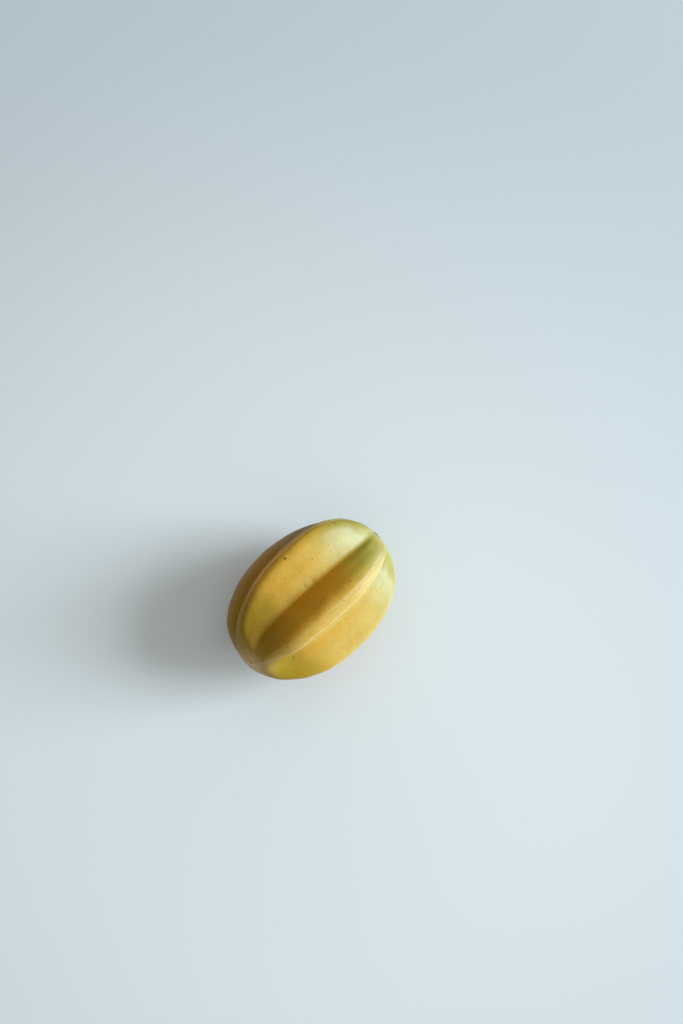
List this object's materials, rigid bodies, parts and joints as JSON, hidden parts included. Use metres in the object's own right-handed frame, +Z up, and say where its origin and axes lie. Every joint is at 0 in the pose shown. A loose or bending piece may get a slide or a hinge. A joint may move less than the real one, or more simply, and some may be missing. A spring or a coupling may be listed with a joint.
{
  "type": "star fruit",
  "caption": "Whole ripe star fruit (carambola) lying on its side, plump and ribbed lengthways, with a waxy golden skin and the dry woody scar of its stalk at one end.",
  "frame": {"origin": "on the surface that the fruit rests on, under the middle of its bounding box", "axes": "+X along the fruit's long axis towards its stalk end, +Z up, +Y to the side"},
  "size_m": [0.09, 0.0672, 0.0618],
  "materials": {
    "skin": "thin waxy skin, golden yellow turning yellow-green at the ends, soft gloss, slightly translucent, with scattered dark specks and pale brown crest lines",
    "stalk": "dry, dark brown, matt and cracked"
  },
  "bodies": {
    "root": {"fruit": "skin", "stalk_scar": "stalk"}
  },
  "joints": []
}
